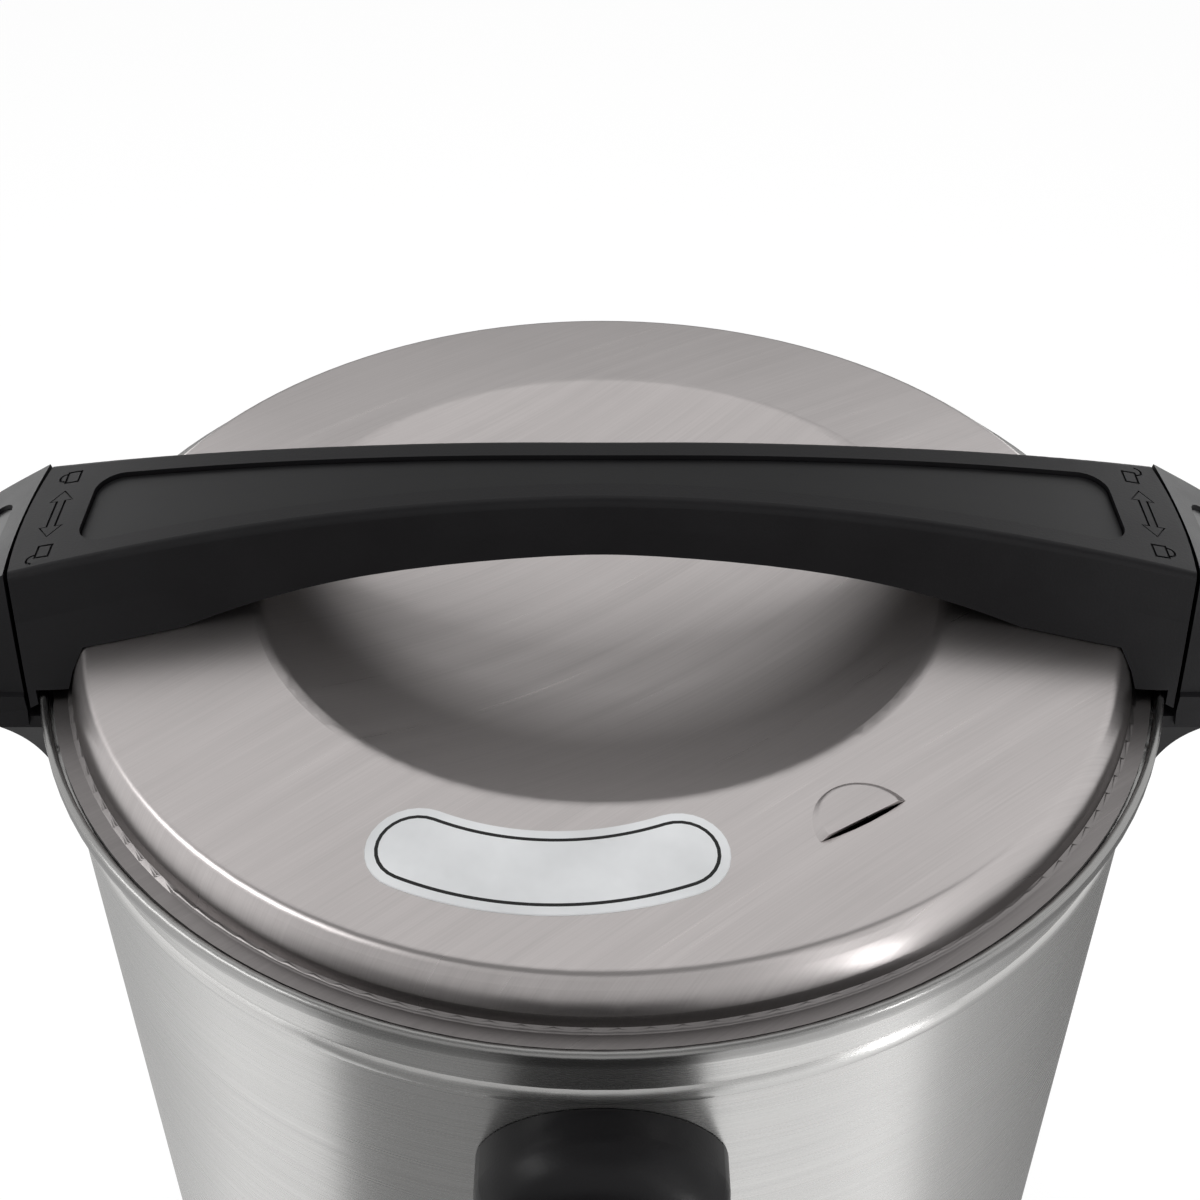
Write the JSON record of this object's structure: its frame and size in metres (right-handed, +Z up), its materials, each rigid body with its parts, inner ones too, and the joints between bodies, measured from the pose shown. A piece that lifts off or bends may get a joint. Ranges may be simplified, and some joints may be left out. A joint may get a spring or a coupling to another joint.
{
  "type": "coffee urn",
  "caption": "Percolating coffee urn: round stainless tank, lift-off lid with arched black handle, side handles, gauge column with tap, basket and pump tube inside.",
  "frame": {"origin": "on the axis of the round tank, in the plane the rubber feet stand on", "axes": "+Z up along the tank's axis; the tap faces -Y; the two side handles lie along X"},
  "size_m": [0.374, 0.3495, 0.452],
  "materials": {
    "body_shell": "circumferential brushed stainless, satin",
    "tank_floor": "satin stainless",
    "heat_spreader": "mill finish",
    "heating_element": "dull sheathed tube",
    "well_heater": "cast, dull",
    "thermostat": "plated, satin",
    "thermal_cutout": "plated, satin",
    "lid_seal": "silicone, matt",
    "lid_shell": "straight brushed stainless, satin",
    "lid_skirt": "satin stainless",
    "lid_handle": "fine textured black",
    "lid_handle_inlay": "semi-gloss black",
    "lid_screws": "satin",
    "lid_washers": "silicone, matt",
    "side_handle_right": "fine textured black",
    "side_handle_left": "fine textured black",
    "side_inlay_right": "semi-gloss black",
    "side_inlay_left": "semi-gloss black",
    "handle_screws": "satin",
    "handle_seals": "silicone, matt",
    "handle_nuts": "satin",
    "gauge_column": "fine textured black",
    "level_scale": "white strip",
    "sight_tube": "clear tube",
    "tube_cap": "silicone, matt",
    "gauge_tee": "moulded fitting",
    "column_screw": "satin",
    "column_seal": "silicone, matt",
    "tap_body": "moulded black",
    "tap_washers": "silicone, matt",
    "tap_nut": "moulded nut",
    "tap_bonnet": "moulded black",
    "lever_pin": "satin",
    "tap_stem": "satin",
    "seat_cup": "silicone, matt",
    "tap_spring": "spring wire",
    "tap_lever": "fine textured black",
    "pump_tube": "satin",
    "pump_foot": "satin",
    "pump_valve": "satin",
    "coffee_basket": "satin",
    "basket_spreader": "satin",
    "base_housing": "fine textured black",
    "base_plate": "black",
    "plate_screws": "plated",
    "rubber_feet": "matt",
    "floor_studs": "plated",
    "stud_nuts": "plated",
    "control_panel": "semi-gloss black",
    "switch_body": "black",
    "switch_rocker": "black",
    "power_lamp": "red lens",
    "ready_lamp": "amber lens",
    "power_inlet": "black",
    "inlet_pins": "plated",
    "terminal_block": "white",
    "lead_wires": "fibreglass sleeved leads"
  },
  "bodies": {
    "urn": {"body_shell": "body_shell", "tank_floor": "tank_floor", "heat_spreader": "heat_spreader", "heating_element": "heating_element", "well_heater": "well_heater", "thermostat": "thermostat", "thermal_cutout": "thermal_cutout", "side_handle_right": "side_handle_right", "side_handle_left": "side_handle_left", "side_inlay_right": "side_inlay_right", "side_inlay_left": "side_inlay_left", "handle_screws": "handle_screws", "handle_seals": "handle_seals", "handle_nuts": "handle_nuts", "gauge_column": "gauge_column", "level_scale": "level_scale", "sight_tube": "sight_tube", "tube_cap": "tube_cap", "gauge_tee": "gauge_tee", "column_screw": "column_screw", "column_seal": "column_seal", "tap_body": "tap_body", "tap_washers": "tap_washers", "tap_nut": "tap_nut", "tap_bonnet": "tap_bonnet", "lever_pin": "lever_pin", "base_housing": "base_housing", "base_plate": "base_plate", "plate_screws": "plate_screws", "rubber_feet": "rubber_feet", "floor_studs": "floor_studs", "stud_nuts": "stud_nuts", "control_panel": "control_panel", "switch_body": "switch_body", "power_lamp": "power_lamp", "ready_lamp": "ready_lamp", "power_inlet": "power_inlet", "inlet_pins": "inlet_pins", "terminal_block": "terminal_block", "lead_wires": "lead_wires"},
    "lid_ring": {"lid_seal": "lid_seal"},
    "lid": {"lid_shell": "lid_shell", "lid_skirt": "lid_skirt", "lid_handle": "lid_handle", "lid_handle_inlay": "lid_handle_inlay", "lid_screws": "lid_screws", "lid_washers": "lid_washers"},
    "brew_set": {"pump_tube": "pump_tube", "pump_foot": "pump_foot", "pump_valve": "pump_valve", "coffee_basket": "coffee_basket"},
    "spreader": {"basket_spreader": "basket_spreader"},
    "tap_lever": {"tap_lever": "tap_lever"},
    "tap_stem": {"tap_stem": "tap_stem", "seat_cup": "seat_cup", "tap_spring": "tap_spring"},
    "switch_rocker": {"switch_rocker": "switch_rocker"}
  },
  "joints": [
    {"name": "lid_twist", "type": "hinge", "parent": "urn", "child": "lid_ring", "pos_m": [0, 0, 0.4075], "axis": [0, 0, 1], "range_deg": [0, 25]},
    {"name": "lid_lift", "type": "slide", "parent": "lid_ring", "child": "lid", "axis": [0, 0, 1], "range_m": [0, 0.3]},
    {"name": "brew_lift", "type": "slide", "parent": "urn", "child": "brew_set", "axis": [0, 0, 1], "range_m": [0, 0.17]},
    {"name": "spreader_lift", "type": "slide", "parent": "brew_set", "child": "spreader", "axis": [0, 0, 1], "range_m": [0, 0.046]},
    {"name": "tap_lever_hinge", "type": "hinge", "parent": "urn", "child": "tap_lever", "pos_m": [0, -0.2, 0.15], "axis": [1, 0, 0], "range_deg": [0, 25], "stiffness_Nm_per_rad": 0.35, "springref_deg": -14.32},
    {"name": "tap_stem_slide", "type": "slide", "parent": "urn", "child": "tap_stem", "axis": [0, 0, 1], "range_m": [0, 0.0044], "deforming": ["tap_spring"]},
    {"name": "switch_rocker_hinge", "type": "hinge", "parent": "urn", "child": "switch_rocker", "pos_m": [-0.02, -0.1452, 0.044], "axis": [1, 0, 0], "range_deg": [-20, 0]}
  ],
  "couplings": [
    {"joint": "brew_lift", "follows": "lid_lift", "ratio": 0.55},
    {"joint": "spreader_lift", "follows": "lid_lift", "ratio": 0.15},
    {"joint": "tap_stem_slide", "follows": "tap_lever_hinge", "m_per_rad": 0.01}
  ]
}
